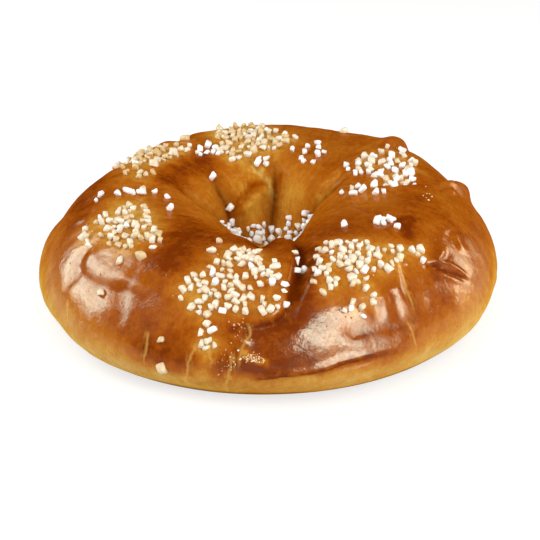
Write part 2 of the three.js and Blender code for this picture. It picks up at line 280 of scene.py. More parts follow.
STREAKS = (
    Streak(-0.2, 5, ((256, 0.74), (256, 0.79), (255.5, 0.83), (255, 0.9))),
    Streak(-0.25, 3.5, ((263, 0.71), (264, 0.734), (265, 0.76))),
    Streak(-0.5, 1.8, ((264, 0.77), (265.5, 0.779), (267, 0.79), (268.5, 0.797), (272, 0.81))),
    # Painted shadow of the raised front lobe on the front crease's bank.
    Streak(0.34, 4.5, ((291, 0.4), (289, 0.46), (284, 0.57), (280.5, 0.64), (278, 0.69), (274, 0.73))),
    # Painted shade: a dark line deep in the front crease.
    Streak(0.5, 1.4,
           ((289, 0.3), (287, 0.37), (285, 0.431), (280, 0.55), (276.5, 0.626), (274, 0.681), (270, 0.72))),
    # Painted shade in the hollow at the front crease's end.
    Streak(0.3, 4, ((276, 0.69), (271, 0.705), (266, 0.714), (258, 0.716))),
    Streak(0.2, 9, ((238, 0.81), (244, 0.82), (250, 0.835), (257, 0.85), (265, 0.86), (278, 0.86))),
    Streak(0.35, 1.1, ((272, 0.815), (275, 0.8), (277, 0.787), (279, 0.776), (283, 0.76))),
    # Golden strip beside the back crease, lightened further as a painted highlight on its lit ridge.
    Streak(-0.4, 2.2, ((104, 0.29), (99, 0.264), (94.5, 0.245), (88.5, 0.223), (83.5, 0.19), (82, 0.15))),
    Streak(-0.16, 7, ((96, 0.19), (104, 0.175), (109, 0.15), (108, 0.11))),
    # Painted shade along the petal's outer edge.
    Streak(0.26, 2.6,
           ((86, 0.222), (92, 0.22), (103, 0.214), (115, 0.196), (127, 0.182), (134, 0.15), (134, 0.11))),
    Streak(-0.14, 7, ((74, 0.15), (63.5, 0.176), (51.5, 0.194), (36, 0.22))),
    # Painted shade beside the back crease.
    Streak(0.2, 2.4, ((78, 0.26), (79, 0.22), (78, 0.18), (78, 0.13))),
    Streak(-0.22, 3, ((28, 0.33), (23, 0.24), (8, 0.164))),
    Streak(0.3, 1.8, ((266, 0.862), (271, 0.849), (283, 0.834), (287, 0.823), (293, 0.818), (302, 0.822))),
    # Painted shade in the right tuck, broad and then along its slit.
    Streak(0.06, 6, ((322, 0.6), (324, 0.67), (330, 0.75))),
    Streak(0.2, 1, ((317, 0.625), (322, 0.655), (325, 0.682), (328, 0.71), (333, 0.75))),
    Streak(0.2, 12, ((200, 0.3), (215, 0.33), (232, 0.4), (236, 0.47))),
    Streak(0.22, 13, ((222, 0.42), (230, 0.48), (236, 0.54), (240, 0.62))),
    Streak(0.24, 13, ((170, 0.37), (152, 0.38), (134, 0.36), (116, 0.31), (104, 0.3))),
    Streak(0.18, 13, ((196, 0.62), (184, 0.6), (172, 0.59), (160, 0.58), (146, 0.58), (132, 0.56))),
    Streak(0.12, 14, ((12, 0.5), (2, 0.5), (350, 0.5), (340, 0.52), (330, 0.55))),
    # Painted shade in the right long crease.
    Streak(0.25, 5, ((333, 0.5), (326, 0.52), (321, 0.55), (316, 0.58))),
)

DRIPS = (
    ((254, 0.75), (253.5, 0.769), (252.5, 0.8), (252, 0.844), (251, 0.876), (250.5, 0.95)),
    ((265.5, 0.69), (266, 0.728), (264.5, 0.766), (264, 0.785), (263.5, 0.84)),
    ((262, 0.77), (262, 0.81), (261.5, 0.839), (261, 0.876), (260.5, 0.96)),
    ((241, 0.745), (241.5, 0.78), (241.3, 0.81), (241, 0.88)),
    ((257, 0.75), (257.3, 0.78), (257.5, 0.83)),
    ((312, 0.58), (310.5, 0.63), (309.5, 0.67), (309, 0.7), (308.5, 0.76)),
    ((306, 0.75), (306.5, 0.79), (307.5, 0.85)),
    ((213, 0.76), (214, 0.79), (216, 0.84)),
)


@dataclass
class RingForm:
    """The form of the dough: the section turned about the axis, made uneven, folded and wrinkled."""

    section: RingSection = RingSection()
    plan_waves: tuple[PlanWave, ...] = (
        PlanWave(2, 0.008, 0.3),
        PlanWave(3, 0.005, 6.0),
        PlanWave(5, 0.004, 4.0),
    )
    rise_share: float = 0.1
    rise_azimuth: float = 64
    swell_height: float = 1.1
    swell_length: float = 19
    swell_shifts_rad: tuple[float, float, float] = (0.4, 1.1, 2.3)
    swell_slants: Span = (0.6, 0.5)
    swell_climb: float = 30
    slanted_share: float = 0.7
    relief_fade_height: float = 14
    folds: tuple[Fold, ...] = FOLDS + WRINKLES
    course_steps: int = 90
    start_ease: float = 0.1
    end_ease: float = 0.4
    cleft_sharpness: float = 2.6
    fold_limit: float = 3.2
    dark_depth: float = 5
    dent_height: float = 0.45
    dent_length: float = 17
    ripple_height: float = 0.1
    ripple_length: float = 6
    pull_height: float = 0.22
    pull_cells: float = 11
    pull_lengths: float = 10
    pull_reach: float = 0.2
    pull_spread: float = 0.16

    def __post_init__(self) -> None:
        """Measures the section once: its close points, the reach and the slope at each, and its length."""
        self.line = self.section.line()
        travelled = np.concatenate([[0], np.cumsum(np.hypot(*np.diff(self.line, axis=0).T))])
        self.length = float(travelled[-1])
        self.reaches = travelled / self.length
        self.slope = np.gradient(self.line, self.reaches, axis=0)

    def along(self, reach: np.ndarray, values: np.ndarray) -> list[np.ndarray]:
        """Reads the two columns of values that belong to the section's points, at a reach."""
        return [np.interp(reach, self.reaches, values[:, axis]) for axis in (0, 1)]

    def bare(self, azimuth: np.ndarray, reach: np.ndarray) -> tuple[np.ndarray, np.ndarray]:
        """Finds the crust before any relief.

        Args:
            azimuth: Angles in radians.
            reach: Places along the section.

        Returns:
            Points and their outward normals, one row each.
        """
        azimuth, reach = np.asarray(azimuth, float), np.clip(np.asarray(reach, float), 0, 1)
        radius, height = self.along(reach, self.line)
        outward, upward = self.along(reach, self.slope)
        waves = sum(w.share * np.cos(w.lobes * azimuth + w.turn) for w in self.plan_waves)
        plan = radius * (1 + (radius / self.section.outer_radius) ** 2 * waves)
        tilt = np.cos(azimuth - math.radians(self.rise_azimuth))
        rise = self.rise_share * np.clip(radius / self.section.mouth_radius, 0, 1) * tilt
        points = np.stack([plan * np.cos(azimuth), plan * np.sin(azimuth), height * (1 + rise)], -1)
        normals = np.stack([-upward * np.cos(azimuth), -upward * np.sin(azimuth), outward], -1)
        return points, normals / np.linalg.norm(normals, axis=-1, keepdims=True)

    def stations(self, course: Course) -> tuple[np.ndarray, np.ndarray, np.ndarray]:
        """Follows a course over the bare crust.

        Args:
            course: The places that it passes.

        Returns:
            Close points on the course, its direction at each, and a strength that eases in and out.
        """
        degrees, reach = np.array(course, float).T
        corners = self.bare(np.radians(degrees), reach)[0]
        run = np.concatenate([[0], np.cumsum(np.linalg.norm(np.diff(corners, axis=0), axis=1))])
        slope = np.gradient(corners, run, axis=0)
        at = np.linspace(0, run[-1], self.course_steps)
        span = np.clip(np.searchsorted(run, at, side="right") - 1, 0, len(run) - 2)
        stretch = (run[span + 1] - run[span])[:, None]
        t = (at - run[span])[:, None] / stretch
        points = (
            (1 + 2 * t) * (1 - t) ** 2 * corners[span]
            + t * (1 - t) ** 2 * stretch * slope[span]
            + t**2 * (3 - 2 * t) * corners[span + 1]
            + t**2 * (t - 1) * stretch * slope[span + 1]
        )
        direction = np.gradient(points, axis=0)
        share = np.linspace(0, 1, self.course_steps)
        strength = smooth(0, self.start_ease, share) * (1 - smooth(1 - self.end_ease, 1, share))
        return points, direction / np.linalg.norm(direction, axis=1, keepdims=True), strength

    def across(
        self, course: Course, width: float, points: np.ndarray, normals: np.ndarray
    ) -> tuple[np.ndarray, np.ndarray, np.ndarray]:
        """Measures how far points near a course lie to its side.

        Args:
            course: The places that it passes.
            width: The distance that counts as 1.
            points: Points of the bare crust.
            normals: Their outward normals.

        Returns:
            Which points are near, their distance to the left in widths, and the course's strength there.
        """
        places, direction, strength = self.stations(course)
        margin = self.fold_limit * width
        inside = (points > places.min(0) - margin) & (points < places.max(0) + margin)
        near = np.flatnonzero(inside.all(1))
        offsets = points[near, None, :] - places[None]
        nearest = (offsets**2).sum(2).argmin(1)
        offset = offsets[np.arange(len(near)), nearest]
        leftwards = np.cross(normals[near], direction[nearest])
        side = np.sign((offset * leftwards).sum(1))
        return near, side * np.linalg.norm(offset, axis=1) / width, strength[nearest]

    def folded(self, points: np.ndarray, normals: np.ndarray) -> tuple[np.ndarray, np.ndarray]:
        """Works out what the folds do to the crust.

        Args:
            points: Points of the bare crust.
            normals: Their outward normals.

        Returns:
            How far each point moves along its normal, and how deep in a crease it lies, from 0 to 1.
        """
        relief, crease = np.zeros(len(points)), np.zeros(len(points))
        for fold in self.folds:
            near, across, strength = self.across(fold.course, fold.width, points, normals)
            groove = (1 - fold.cleft) * np.exp(-(across**2))
            slit = np.exp(-self.cleft_sharpness * np.abs(across))
            step = fold.lap * across * np.exp((1 - across**2) / 2)
            relief[near] += strength * (step - fold.depth * (groove + fold.cleft * slit))
            # How deep a fold is sets how dark its painted crease shade is.
            depth = min(1.0, max(0.0, fold.depth) / self.dark_depth)
            crease[near] = np.maximum(crease[near], depth * strength * slit)
        return relief, crease

    def swell(self, points: np.ndarray) -> np.ndarray:
        """Gives the slow waves of the crust, two across each other and two on a slant.

        Args:
            points: Points of the bare crust.

        Returns:
            The waves' height at each point.
        """
        x, y, z = points.T
        first, second, third = self.swell_shifts_rad
        across, along = self.swell_slants

        def wave(place: np.ndarray, shift: np.ndarray | float) -> np.ndarray:
            """One wave of the swell's length."""
            return np.sin(place / self.swell_length + shift)

        square = wave(x, first) * wave(y, second)
        slanted = wave(across * x - y, z / self.swell_climb) * wave(x + along * y, third)
        return self.swell_height * (square + self.slanted_share * slanted)

    def pull(self, azimuth: np.ndarray, reach: np.ndarray) -> np.ndarray:
        """Gives places for a noise that is drawn out along the section, as dough that has been pulled.

        Args:
            azimuth: Angles in radians.
            reach: Places along the section.

        Returns:
            One row for each place.
        """
        turned = [self.pull_cells * np.cos(azimuth), self.pull_cells * np.sin(azimuth)]
        return np.stack([*turned, self.pull_lengths * np.asarray(reach)], -1)

    def crust(self, azimuth: np.ndarray, reach: np.ndarray) -> tuple[np.ndarray, np.ndarray, np.ndarray]:
        """Finds the crust with its folds, wrinkles and swelling.

        Args:
            azimuth: Angles in radians.
            reach: Places along the section.

        Returns:
            Points, the bare crust's normals, and how deep in a crease each point lies.
        """
        points, normals = self.bare(azimuth, reach)
        relief, crease = self.folded(points, normals)
        pulled = np.exp(-(((np.asarray(reach) - self.pull_reach) / self.pull_spread) ** 2))
        relief += self.swell(points) + self.dent_height * unevenness(points, self.dent_length)
        relief += self.ripple_height * unevenness(points, self.ripple_length)
        relief += self.pull_height * pulled * unevenness(self.pull(azimuth, reach), 1)
        fade = smooth(0, self.relief_fade_height, points[:, 2])
        return points + (fade * relief)[:, None] * normals, normals, fade * crease


class SugarKind(Enum):
    """How the grains of a cluster lie: the share of pure white grains, and the most toast of the others."""

    TOASTED = (0.03, 2.2)
    CREAMY = (0.1, 1.0)
    BAKED_ON = (0.1, 0.6)
    MIXED = (0.45, 0.6)
    LOOSE = (0.96, 0.5)


@dataclass(frozen=True)
class SugarCluster:
    """A cluster of sugar: its middle, its spread around the ring and along the section, and its grains."""

    name: str
    azimuth: float
    reach: float
    around: float
    along: float
    grains: int
    kind: SugarKind = SugarKind.BAKED_ON


@dataclass(frozen=True)
class Grain:
    """One grain of pearl sugar on the crust, with its azimuth in radians."""

    azimuth: float
    reach: float
    point: Vector
    size: float
    seed: int
    whiteness: float
    toast: float


CLUSTERS = (
    SugarCluster("front", 261, 0.57, 24, 27, 86),
    SugarCluster("right front", 298, 0.55, 27, 18, 62),
    SugarCluster("left", 208.5, 0.512, 27, 20.5, 62, SugarKind.CREAMY),
    SugarCluster("back left", 148, 0.485, 27, 18, 50, SugarKind.TOASTED),
    SugarCluster("back", 99, 0.41, 25, 22, 70, SugarKind.TOASTED),
    SugarCluster("back right", 18, 0.435, 22, 22, 50, SugarKind.MIXED),
    SugarCluster("left upper", 180, 0.465, 5, 22, 11, SugarKind.LOOSE),
    SugarCluster("back white", 123.5, 0.386, 6, 6, 8, SugarKind.LOOSE),
    SugarCluster("back low", 94, 0.286, 6, 3, 4, SugarKind.LOOSE),
    SugarCluster("back strays", 62, 0.33, 16, 12, 10, SugarKind.LOOSE),
    SugarCluster("right inner", 352, 0.36, 6, 16, 9, SugarKind.LOOSE),
    SugarCluster("dimple left", 150, 0.128, 7, 7, 11, SugarKind.LOOSE),
    SugarCluster("dimple", 97, 0.092, 21, 6, 26, SugarKind.LOOSE),
    SugarCluster("dimple floor", 220, 0.05, 9, 8, 9, SugarKind.LOOSE),
    SugarCluster("dimple right", 28, 0.135, 9, 9, 13, SugarKind.LOOSE),
    SugarCluster("right", 324, 0.48, 7, 8, 6, SugarKind.LOOSE),
    SugarCluster("right edge", 319.5, 0.596, 3, 7, 4),
    SugarCluster("right front low", 295, 0.675, 10, 9, 8),
    SugarCluster("front low", 255.5, 0.735, 6, 7, 7),
    SugarCluster("crease side", 272, 0.555, 3, 9, 5, SugarKind.MIXED),
    SugarCluster("crease", 281, 0.5, 3, 9, 4, SugarKind.LOOSE),
)

STRAYS = (
    (195, 0.355), (137, 0.29), (135, 0.185), (223, 0.694), (245, 0.763), (246, 0.84), (314, 0.376),
    (249, 0.468), (248, 0.41), (222, 0.595), (228, 0.562), (125, 0.494), (285, 0.629), (58, 0.51),
    (275, 0.65),
)

CRUMBS = (
    SugarCluster("white crumbs", 267, 0.79, 6, 3, 44, SugarKind.MIXED),
    SugarCluster("gold crumbs", 261, 0.8, 6, 9, 24, SugarKind.TOASTED),
    SugarCluster("upper crumbs", 264, 0.73, 7, 9, 18, SugarKind.TOASTED),
    SugarCluster("front dust", 259, 0.62, 28, 34, 14),
    SugarCluster("right front dust", 300, 0.58, 30, 22, 10),
    SugarCluster("left dust", 209, 0.53, 30, 26, 8),
    SugarCluster("back right dust", 15, 0.46, 26, 24, 8, SugarKind.MIXED),
    SugarCluster("right crumbs", 350, 0.522, 5, 3, 6, SugarKind.MIXED),
)


@dataclass(frozen=True)
class SugarScatter:
    """The seeded rule for the grains: in each cluster the largest first, each clear of those before it."""

    form: RingForm
    clusters: tuple[SugarCluster, ...] = CLUSTERS
    strays: Course = STRAYS
    crowding: float = 0.62
    edge_wobble: float = 0.25
    edge_lobes: int = 3
    most_tries: int = 900
    draws_per_try: int = 8
    first_index: int = 0
    large: float = 5
    small: float = 3
    spacing: float = 0.8
    loose_reach: float = 0.4
    least_white: float = 0.75

    def grains(self) -> list[Grain]:
        """Lays out every cluster, then the strays, which are loose about the dimple and toasted further out.

        Returns:
            All grains.
        """
        clusters = list(self.clusters)
        for azimuth, reach in self.strays:
            kind = SugarKind.LOOSE if reach < self.loose_reach else SugarKind.TOASTED
            clusters.append(SugarCluster("stray", azimuth, reach, 0, 0, 1, kind))
        numbered = enumerate(clusters, self.first_index)
        return [grain for index, cluster in numbered for grain in self.cluster_grains(cluster, index)]

    def cluster_grains(self, cluster: SugarCluster, index: int) -> list[Grain]:
        """Lays out one cluster.

        Args:
            cluster: The cluster.
            index: Its number, which sets its draws.

        Returns:
            Its grains, the largest first.
        """
        middle = self.form.bare(math.radians(cluster.azimuth), cluster.reach)[0]
        ring_radius = math.hypot(middle[0], middle[1])
        placed: list[Grain] = []
        for attempt in range(self.most_tries):
            if len(placed) == cluster.grains:
                break
            seed = self.draws_per_try * (self.most_tries * index + attempt)
            turn = math.tau * draw(seed)
            edge = 1 + self.edge_wobble * math.sin(self.edge_lobes * turn + index)
            out = edge * draw(seed + 1) ** self.crowding
            azimuth = math.radians(cluster.azimuth) + cluster.around * out * math.cos(turn) / ring_radius
            reach = abs(cluster.reach + cluster.along * out * math.sin(turn) / self.form.length)
            size = self.large + (self.small - self.large) * len(placed) / cluster.grains
            point = Vector(self.form.bare(azimuth, reach)[0])
            if all((g.point - point).length > self.spacing * (g.size + size) / 2 for g in placed):
                white_share, most_toast = cluster.kind.value
                white = draw(seed + 5) < white_share
                whiteness = (self.least_white if white else 0.0) + (1 - self.least_white) * draw(seed + 6)
                toast = 0.0 if white else min(1.0, most_toast * draw(seed + 7))
                placed.append(Grain(azimuth, reach, point, size, seed, whiteness, toast))
        return placed


class NodeBench:
    """A material's node tree, with short calls to add nodes and to wire them."""

    def __init__(self, name: str) -> None:
        """Starts a material with its shader and output.

        Args:
            name: Name of the material.
        """
        self.material = bpy.data.materials.new(name)
        self.material.use_nodes = True
        self.tree = self.material.node_tree
        self.shader = self.tree.nodes["Principled BSDF"]
        self.place = self.add("ShaderNodeTexCoord").outputs["Object"]

    def add(self, kind: str, inputs: Inputs | None = None, **settings: object) -> bpy.types.Node:
        """Adds a node.

        Args:
            kind: The node's type.
            inputs: Values or sockets for its inputs, by name or number.
            settings: Values for its own properties.

        Returns:
            The node.
        """
        node = self.tree.nodes.new(kind)
        for name, value in settings.items():
            setattr(node, name, value)
        self.feed(node, inputs or {})
        return node

    def feed(self, node: bpy.types.Node, inputs: Inputs) -> None:
        """Sets a node's inputs.

        Args:
            node: The node.
            inputs: Values, or sockets to wire, by the input's name or number.
        """
        for key, value in inputs.items():
            if isinstance(value, Socket):
                self.tree.links.new(value, node.inputs[key])
            else:
                node.inputs[key].default_value = value

    def finished(self, inputs: Inputs) -> bpy.types.Material:
        """Sets the shader's inputs, and gives the material."""
        self.feed(self.shader, inputs)
        return self.material

    def attribute(self, name: str) -> Socket:
        """Reads a number that the mesh holds at its points."""
        return self.add("ShaderNodeAttribute", attribute_name=name).outputs["Fac"]

    def noise(self, scale: float, detail: float, roughness: float, place: Socket | None = None) -> Socket:
        """Adds noise of 0 to 1: cells to a unit of the place, the number of finer noises, and their size."""
        inputs = {"Vector": place or self.place, "Scale": scale, "Detail": detail, "Roughness": roughness}
        return self.add("ShaderNodeTexNoise", inputs).outputs[0]

    def reckon(self, operation: str, first: object, second: object = 0) -> Socket:
        """Works out one operation on one or two numbers."""
        return self.add("ShaderNodeMath", {0: first, 1: second}, operation=operation).outputs[0]

    def fit(self, value: object, source: Span, target: Span) -> Socket:
        """Brings a number from one range to another, held at its ends."""
        names = ("Value", "From Min", "From Max", "To Min", "To Max")
        return self.add("ShaderNodeMapRange", dict(zip(names, (value, *source, *target)))).outputs["Result"]

    def blend(self, share: object, first: object, second: object) -> Socket:
        """Blends two colours by a share."""
        return self.add("ShaderNodeMix", {0: share, 6: first, 7: second}, data_type="RGBA").outputs[2]

    def ramp(self, value: object, stops: tuple[tuple[float, Colour], ...]) -> Socket:
        """Colours a number by stops.

        Args:
            value: The number, from 0 to 1.
            stops: Positions with their colours, in order.

        Returns:
            The colour's socket.
        """
        node = self.add("ShaderNodeValToRGB", {"Fac": value})
        elements = node.color_ramp.elements
        while len(elements) < len(stops):
            elements.new(1.0)
        for element, (position, colour) in zip(elements, stops):
            element.position = position
            element.color = (*colour, 1)
        return node.outputs["Color"]

    def bump(self, height: object, distance: float, strength: float, under: Socket | None = None) -> Socket:
        """Turns a height into a bumped normal.

        Args:
            height: The height's socket.
            distance: Height in metres of the value 1.
            strength: Share of the bump that shows.
            under: A normal that it lies on.

        Returns:
            The normal's socket.
        """
        node = self.add("ShaderNodeBump", {"Height": height, "Distance": distance, "Strength": strength})
        if under is not None:
            self.feed(node, {"Normal": under})
        return node.outputs["Normal"]


@dataclass(frozen=True)
class Mottle:
    """A noise of a finish: its scale, finer noises and their size, its spread, and the change at its ends."""

    scale: float
    detail: float
    roughness: float
    spread: float
    change: float

    def noise(self, bench: NodeBench, place: Socket | None = None) -> Socket:
        """Adds the noise, of 0 to 1."""
        return bench.noise(self.scale, self.detail, self.roughness, place)

    def changed(self, bench: NodeBench, value: Socket) -> Socket:
        """Turns the noise into the change that it makes."""
        return bench.fit(value, (0.5 - self.spread, 0.5 + self.spread), (-self.change, self.change))


@dataclass(frozen=True)
class FineRelief:
    """A fine relief of a finish: its scale, finer noises and their size, its height, and the share shown."""

    scale: float
    detail: float
    roughness: float
    height_m: float
    share: float

    def normal(self, bench: NodeBench, under: Socket | None = None) -> Socket:
        """Lays the relief on a normal."""
        height = bench.noise(self.scale, self.detail, self.roughness)
        return bench.bump(height, self.height_m, self.share, under)


@dataclass(frozen=True)
class EggWashFinish:
    """Egg-washed crust: pale where the dough touched its tray, golden by the sugar, brown on top, with
    painted shade in its pits and creases.
    """

    browning: tuple[tuple[float, Colour], ...] = (
        (0.0, linear(226, 188, 116)),
        (0.2, linear(207, 164, 83)),
        (0.4, linear(194, 135, 45)),
        (0.6, linear(175, 102, 22)),
        (0.8, linear(155, 76, 5)),
        (1.0, linear(116, 46, 2)),
    )
    # Colour of the painted shade deep in the creases and along the bottom edge.
    crease: Colour = linear(78, 24, 4)
    drip: Colour = linear(222, 176, 84)
    drip_widths: Span = (0, 1.4)
    drip_share: float = 0.52
    drip_wander: Mottle = Mottle(220, 3, 0.5, 0.2, 1)
    mottles: tuple[Mottle, ...] = (
        Mottle(110, 4, 0.6, 0.2, 0.045),
        Mottle(300, 2, 0.5, 0.15, 0.04),
        Mottle(750, 2, 0.5, 0.15, 0.03),
    )
    strands: Mottle = Mottle(2.4, 3, 0.55, 0.2, 0.05)
    strand_height_m: float = 0.0007
    strand_share: float = 0.1
    pit_scale: float = 300
    pit_span: Span = (0.06, 0.2)
    pit_patch_noise: tuple[float, float, float] = (140, 1, 0.5)
    pit_patch_span: Span = (0.6, 0.64)
    # Painted shade that darkens the crust in its pits.
    pit_shade: float = 0.25
    pit_height_m: float = -0.0005
    pit_share: float = 0.5
    reliefs: tuple[FineRelief, ...] = (
        FineRelief(230, 3, 0.6, 0.0004, 0.25),
        FineRelief(480, 2, 0.5, 0.0002, 0.6),
    )
    dough_shine: float = 0
    wash_noise: tuple[float, float, float] = (600, 4, 0.75)
    wash_span: Span = (0.36, 0.6)
    wash_cover: Span = (0.55, 1)
    edge_on_span: Span = (0.57, 0.75)
    edge_on_cover: float = 0.05
    wash_roughness: float = 0.17
    wash_index: float = 1.5

    def material(self) -> bpy.types.Material:
        """Makes the crust's material, which reads the mesh's browning, crease, wash, drips and pull.

        Returns:
            The material: matt dough under a clear coat of egg wash.
        """
        bench = NodeBench("egg_washed_crust")
        pulled = bench.add("ShaderNodeAttribute", attribute_name="pull").outputs["Vector"]
        strands = self.strands.noise(bench, pulled)
        pit = self.pits(bench)
        normal = None
        for relief in self.reliefs:
            normal = relief.normal(bench, normal)
        normal = bench.bump(strands, self.strand_height_m, self.strand_share, normal)
        normal = bench.bump(pit, self.pit_height_m, self.pit_share, normal)
        return bench.finished({
            "Base Color": self.colour(bench, strands, pit),
            "Specular IOR Level": self.dough_shine,
            "Normal": normal,
            "Coat Weight": self.wash(bench),
            "Coat Roughness": self.wash_roughness,
            "Coat IOR": self.wash_index,
            "Coat Normal": normal,
        })

    def pits(self, bench: NodeBench) -> Socket:
        """Scatters small pits in patches.

        Args:
            bench: The material's nodes.

        Returns:
            How deep in a pit a place lies, from 0 to 1.
        """
        spots = bench.add("ShaderNodeTexVoronoi", {"Vector": bench.place, "Scale": self.pit_scale})
        between = bench.fit(bench.noise(*self.pit_patch_noise), self.pit_patch_span, (1, 0))
        return bench.fit(bench.reckon("ADD", spots.outputs["Distance"], between), self.pit_span, (1, 0))

    def wash(self, bench: NodeBench) -> Socket:
        """Spreads the egg wash, thinner in fine specks and where the crust is seen edge-on.

        Args:
            bench: The material's nodes.

        Returns:
            The cover of egg wash, from 0 to 1.
        """
        cover = bench.fit(bench.noise(*self.wash_noise), self.wash_span, self.wash_cover)
        edge_on = bench.add("ShaderNodeLayerWeight").outputs["Facing"]
        seen = bench.fit(edge_on, self.edge_on_span, (1, self.edge_on_cover))
        return bench.reckon("MULTIPLY", bench.reckon("MULTIPLY", cover, seen), bench.attribute("wash"))

    def colour(self, bench: NodeBench, strands: Socket, pit: Socket) -> Socket:
        """Mixes the crust's colour, with painted shade in the pits, deep in the creases and along the bottom
        edge.

        Args:
            bench: The material's nodes.
            strands: Noise drawn out along the section.
            pit: How deep in a pit a place lies.

        Returns:
            The colour's socket.
        """
        browned = bench.attribute("browning")
        changes = [mottle.changed(bench, mottle.noise(bench)) for mottle in self.mottles]
        # The pits darken the crust as painted shade.
        changes += [self.strands.changed(bench, strands), bench.fit(pit, (0, 1), (0, self.pit_shade))]
        for change in changes:
            browned = bench.reckon("ADD", browned, change)
        crust = bench.ramp(browned, self.browning)
        wander = self.drip_wander.changed(bench, self.drip_wander.noise(bench))
        beside = bench.reckon("ABSOLUTE", bench.reckon("ADD", bench.attribute("drip_side"), wander))
        shown = bench.fit(beside, self.drip_widths, (self.drip_share, 0))
        drip = bench.reckon("MULTIPLY", bench.attribute("drip"), shown)
        crust = bench.blend(drip, crust, (*self.drip, 1))
        # Paints shade into the creases and along the bottom edge.
        return bench.blend(bench.attribute("crease"), crust, (*self.crease, 1))


@dataclass(frozen=True)
class SugarFinish:
    """Pearl sugar: creamy where it is baked on, toasted in places, and white where it lies loose."""

    name: str = "pearl_sugar"
    baked: Colour = linear(238, 227, 207)
    toasted: Colour = linear(210, 172, 104)
    white: Colour = linear(247, 246, 243)
    toast_noise: tuple[float, float, float] = (170, 3, 0.5)
    toast_span: Span = (0.5, 0.7)
    toast_share: float = 0.5
    crystal: FineRelief = FineRelief(1500, 2, 0.6, 0.0005, 0.35)
    roughness: float = 0.5
    scatter_share: float = 0.25
    scatter_reach_m: float = 0.0012
    scatter_colours: Colour = (1.0, 0.85, 0.65)

    def material(self) -> bpy.types.Material:
        """Makes the sugar's material, which reads each grain's whiteness and toast.

        Returns:
            The material.
        """
        bench = NodeBench(self.name)
        patchy = bench.fit(bench.noise(*self.toast_noise), self.toast_span, (0, self.toast_share))
        toast = bench.reckon("MAXIMUM", patchy, bench.attribute("toast"))
        cream = bench.blend(toast, (*self.baked, 1), (*self.toasted, 1))
        return bench.finished({
            "Base Color": bench.blend(bench.attribute("whiteness"), cream, (*self.white, 1)),
            "Roughness": self.roughness,
            "Normal": self.crystal.normal(bench),
            "Subsurface Weight": self.scatter_share,
            "Subsurface Scale": self.scatter_reach_m,
            "Subsurface Radius": self.scatter_colours,
        })


